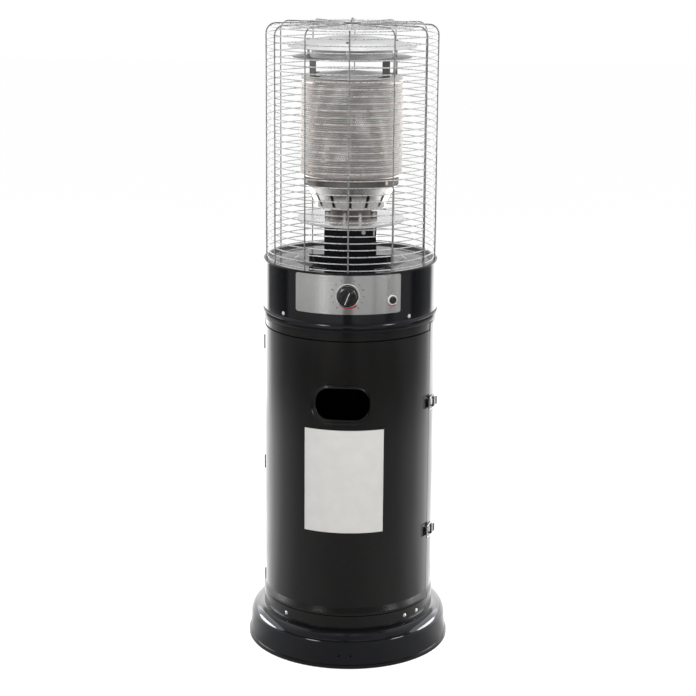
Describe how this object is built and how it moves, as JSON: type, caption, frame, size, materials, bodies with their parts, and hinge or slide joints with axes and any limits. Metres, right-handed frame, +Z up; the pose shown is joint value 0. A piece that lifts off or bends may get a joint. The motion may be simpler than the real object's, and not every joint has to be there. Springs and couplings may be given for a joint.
{
  "type": "patio heater",
  "caption": "Upright cylinder patio heater on a round base, with a latched gas bottle door, control housing, burner, round emitter and twin reflectors inside a wire guard.",
  "frame": {"origin": "centre of the round base, on the ground", "axes": "+Z up along the heater's axis, -Y out of the control plate at the front, +X to the right seen from the front"},
  "size_m": [0.444, 0.4439, 1.367],
  "materials": {
    "gloss_black_paint": "gloss",
    "satin_black_paint": "satin",
    "edge_trim": "matt",
    "galvanised": "galvanised",
    "screw_steel": "polished",
    "stainless": "bright stainless steel",
    "brushed": "brushed",
    "black_plastic": "semi gloss",
    "white_sheet": "plain vinyl",
    "brass": "machined",
    "wire": "bright zinc",
    "cast": "heat marked"
  },
  "bodies": {
    "heater": {"base_shell": "gloss_black_paint", "base_edge_trim": "edge_trim", "bottle_platform": "galvanised", "lower_collar": "satin_black_paint", "collar_screws": "screw_steel", "body_shell": "satin_black_paint", "support_posts": "galvanised", "body_top_ring": "satin_black_paint", "body_hinge_leaves": "screw_steel", "hinge_pins": "screw_steel", "latch_bases": "screw_steel", "housing_floor": "galvanised", "housing_drum": "gloss_black_paint", "housing_screws": "screw_steel", "housing_top_plate": "stainless", "top_plate_screws": "screw_steel", "control_plate": "brushed", "gas_valve": "brass", "igniter_body": "black_plastic", "gas_inlet_fitting": "brass", "gas_supply_pipe": "brass", "burner_orifice": "brass", "venturi_tube": "stainless", "tilt_switch": "black_plastic", "burner_plinth": "gloss_black_paint", "burner_neck": "gloss_black_paint", "burner_heat_disc": "stainless", "burner_cup": "stainless", "burner_lugs": "stainless", "burner_lug_nuts": "screw_steel", "burner_cone": "stainless", "burner_head": "cast", "ignition_electrode": "white_sheet", "thermocouple": "brass", "emitter_base_ring": "stainless", "emitter_ring_screws": "screw_steel", "emitter_screen": "stainless", "emitter_lid": "stainless", "reflector_posts": "stainless", "lower_reflector": "stainless", "reflector_spacers": "stainless", "reflector_screws": "screw_steel", "upper_reflector": "stainless", "guard_uprights": "wire", "guard_hoops": "wire", "guard_top_rings": "wire", "guard_hub_plate": "wire", "guard_hub_screw": "screw_steel"},
    "door": {"door_panel": "satin_black_paint", "door_blank_label": "white_sheet", "door_hinge_leaves": "screw_steel", "door_catches": "screw_steel"},
    "upper_lever": {"upper_latch_lever": "screw_steel"},
    "upper_bail": {"upper_latch_bail": "screw_steel"},
    "lower_lever": {"lower_latch_lever": "screw_steel"},
    "lower_bail": {"lower_latch_bail": "screw_steel"},
    "valve": {"valve_plug": "brass"},
    "knob": {"control_knob": "black_plastic", "valve_stem": "brass"},
    "button": {"igniter_button": "black_plastic"}
  },
  "joints": [
    {"name": "door_hinge", "type": "hinge", "parent": "heater", "child": "door", "pos_m": [-0.18365, -0.00962, 0.397], "axis": [0, 0, -1], "range_deg": [0, 115]},
    {"name": "valve_turn", "type": "hinge", "parent": "heater", "child": "valve", "pos_m": [0, -0.165, 0.8135], "axis": [0, -1, 0], "range_deg": [0, 180]},
    {"name": "knob_push", "type": "slide", "parent": "valve", "child": "knob", "axis": [0, 1, 0], "range_m": [0, 0.0035], "stiffness_N_per_m": 1500, "springref_m": -0.001},
    {"name": "igniter_push", "type": "slide", "parent": "heater", "child": "button", "axis": [-0.4909, 0.8712, 0], "range_m": [0, 0.004], "stiffness_N_per_m": 800, "springref_m": -0.001},
    {"name": "lower_latch_turn", "type": "hinge", "parent": "heater", "child": "lower_lever", "pos_m": [0.18209, -0.0567, 0.263], "axis": [0, 0, -1], "range_deg": [0, 120]},
    {"name": "lower_bail_turn", "type": "hinge", "parent": "lower_lever", "child": "lower_bail", "pos_m": [0.18354, -0.04978, 0.263], "axis": [0, 0, -1], "range_deg": [-140, 0]},
    {"name": "upper_latch_turn", "type": "hinge", "parent": "heater", "child": "upper_lever", "pos_m": [0.18209, -0.0567, 0.554], "axis": [0, 0, -1], "range_deg": [0, 120]},
    {"name": "upper_bail_turn", "type": "hinge", "parent": "upper_lever", "child": "upper_bail", "pos_m": [0.18354, -0.04978, 0.554], "axis": [0, 0, -1], "range_deg": [-140, 0]}
  ],
  "couplings": [
    {"joint": "upper_bail_turn", "follows": "upper_latch_turn", "ratio": -1.15},
    {"joint": "lower_bail_turn", "follows": "lower_latch_turn", "ratio": -1.15}
  ]
}
